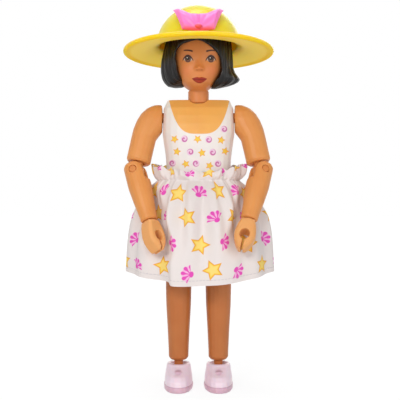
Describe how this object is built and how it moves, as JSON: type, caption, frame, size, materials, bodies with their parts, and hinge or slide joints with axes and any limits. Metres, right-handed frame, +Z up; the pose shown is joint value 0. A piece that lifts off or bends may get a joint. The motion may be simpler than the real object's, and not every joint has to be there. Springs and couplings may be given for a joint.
{
  "type": "articulated plastic doll figure",
  "caption": "Standing jointed plastic doll with moulded hair, lift-off sun hat with bow, gripping hands, shoes and a gathered cloth skirt.",
  "frame": {"origin": "on the floor under the middle of the doll's outline", "axes": "+Z up, the doll faces -Y, its left side is +X"},
  "size_m": [0.055, 0.055, 0.1399],
  "materials": {
    "skin": "satin moulded skin-coloured plastic",
    "face": "satin moulded skin-coloured plastic with a painted face",
    "hair": "black moulded plastic with strand grooves",
    "hat": "glossy yellow plastic",
    "bow": "pink plastic",
    "white": "white moulded plastic with a printed front",
    "cloth": "white woven cloth with a print",
    "elastic": "white woven elastic",
    "shoe": "pale pink plastic",
    "pin": "skin-coloured plastic pin",
    "inner": "uncoloured plastic, inside the body"
  },
  "bodies": {
    "torso": {"torso_front": "white", "torso_back": "white", "neck_pin": "inner", "hip_axle": "inner", "skirt": "cloth", "waist_elastic": "elastic"},
    "head": {"head": "face", "hair": "hair"},
    "hat": {"hat": "hat", "hat_bow": "bow"},
    "right_upper_arm": {"right_upper_arm": "skin", "right_shoulder_pin": "inner"},
    "right_elbow": {"right_elbow_knuckle": "skin"},
    "right_forearm": {"right_forearm": "skin", "right_elbow_pin": "pin"},
    "right_hand": {"right_hand": "skin"},
    "left_upper_arm": {"left_upper_arm": "skin", "left_shoulder_pin": "inner"},
    "left_elbow": {"left_elbow_knuckle": "skin"},
    "left_forearm": {"left_forearm": "skin", "left_elbow_pin": "pin"},
    "left_hand": {"left_hand": "skin"},
    "right_thigh": {"right_thigh": "skin"},
    "right_knee": {"right_knee_knuckle": "skin"},
    "right_shin": {"right_shin": "skin", "right_knee_pin": "pin"},
    "right_shoe": {"right_shoe": "shoe"},
    "left_thigh": {"left_thigh": "skin"},
    "left_knee": {"left_knee_knuckle": "skin"},
    "left_shin": {"left_shin": "skin", "left_knee_pin": "pin"},
    "left_shoe": {"left_shoe": "shoe"}
  },
  "joints": [
    {"name": "head_turn", "type": "hinge", "parent": "torso", "child": "head", "pos_m": [0, 0, 0.104], "axis": [0, 0, 1], "range_deg": [-80, 80]},
    {"name": "hat_lift", "type": "slide", "parent": "head", "child": "hat", "axis": [0, 0.0628, 0.998], "range_m": [0, 0.03]},
    {"name": "right_shoulder_swing", "type": "hinge", "parent": "torso", "child": "right_upper_arm", "pos_m": [-0.013, 0, 0.0987], "axis": [-1, 0, 0], "range_deg": [-8, 110]},
    {"name": "right_elbow_swivel", "type": "hinge", "parent": "right_upper_arm", "child": "right_elbow", "pos_m": [-0.0225, -0.00576, 0.07861], "axis": [-0.1959, -0.2703, -0.9426], "range_deg": [-10, 150]},
    {"name": "right_elbow_bend", "type": "hinge", "parent": "right_elbow", "child": "right_forearm", "pos_m": [-0.0225, -0.00576, 0.07861], "axis": [-0.2867, -0.9035, 0.3187], "range_deg": [-28, 60]},
    {"name": "right_wrist_turn", "type": "hinge", "parent": "right_forearm", "child": "right_hand", "pos_m": [-0.01721, -0.01358, 0.06121], "axis": [-0.2672, 0.3948, 0.879], "range_deg": [-90, 90]},
    {"name": "left_shoulder_swing", "type": "hinge", "parent": "torso", "child": "left_upper_arm", "pos_m": [0.013, 0, 0.0987], "axis": [-1, 0, 0], "range_deg": [-8, 110]},
    {"name": "left_elbow_swivel", "type": "hinge", "parent": "left_upper_arm", "child": "left_elbow", "pos_m": [0.0225, -0.00576, 0.07861], "axis": [-0.1959, 0.2703, 0.9426], "range_deg": [-10, 150]},
    {"name": "left_elbow_bend", "type": "hinge", "parent": "left_elbow", "child": "left_forearm", "pos_m": [0.0225, -0.00576, 0.07861], "axis": [-0.4144, 0.8484, -0.3294], "range_deg": [-28, 60]},
    {"name": "left_wrist_turn", "type": "hinge", "parent": "left_forearm", "child": "left_hand", "pos_m": [0.01766, -0.01472, 0.06163], "axis": [0.2442, 0.4524, 0.8577], "range_deg": [-90, 90]},
    {"name": "right_hip_swing", "type": "hinge", "parent": "torso", "child": "right_thigh", "pos_m": [-0.0068, 0, 0.068], "axis": [-1, 0, 0], "range_deg": [-25, 90], "deforming": ["skirt"]},
    {"name": "right_knee_swivel", "type": "hinge", "parent": "right_thigh", "child": "right_knee", "pos_m": [-0.0073, 0, 0.0415], "axis": [0, 0, 1], "range_deg": [-40, 8]},
    {"name": "right_knee_bend", "type": "hinge", "parent": "right_knee", "child": "right_shin", "pos_m": [-0.0073, 0, 0.0415], "axis": [1, 0, 0], "range_deg": [0, 90]},
    {"name": "right_ankle_turn", "type": "hinge", "parent": "right_shin", "child": "right_shoe", "pos_m": [-0.0073, 0, 0.0089], "axis": [0, 0, 1], "range_deg": [-45, 8]},
    {"name": "left_hip_swing", "type": "hinge", "parent": "torso", "child": "left_thigh", "pos_m": [0.0068, 0, 0.068], "axis": [-1, 0, 0], "range_deg": [-25, 90], "deforming": ["skirt"]},
    {"name": "left_knee_swivel", "type": "hinge", "parent": "left_thigh", "child": "left_knee", "pos_m": [0.0073, 0, 0.0415], "axis": [0, 0, -1], "range_deg": [-40, 8]},
    {"name": "left_knee_bend", "type": "hinge", "parent": "left_knee", "child": "left_shin", "pos_m": [0.0073, 0, 0.0415], "axis": [1, 0, 0], "range_deg": [0, 90]},
    {"name": "left_ankle_turn", "type": "hinge", "parent": "left_shin", "child": "left_shoe", "pos_m": [0.0073, 0, 0.0089], "axis": [0, 0, -1], "range_deg": [-45, 8]}
  ]
}
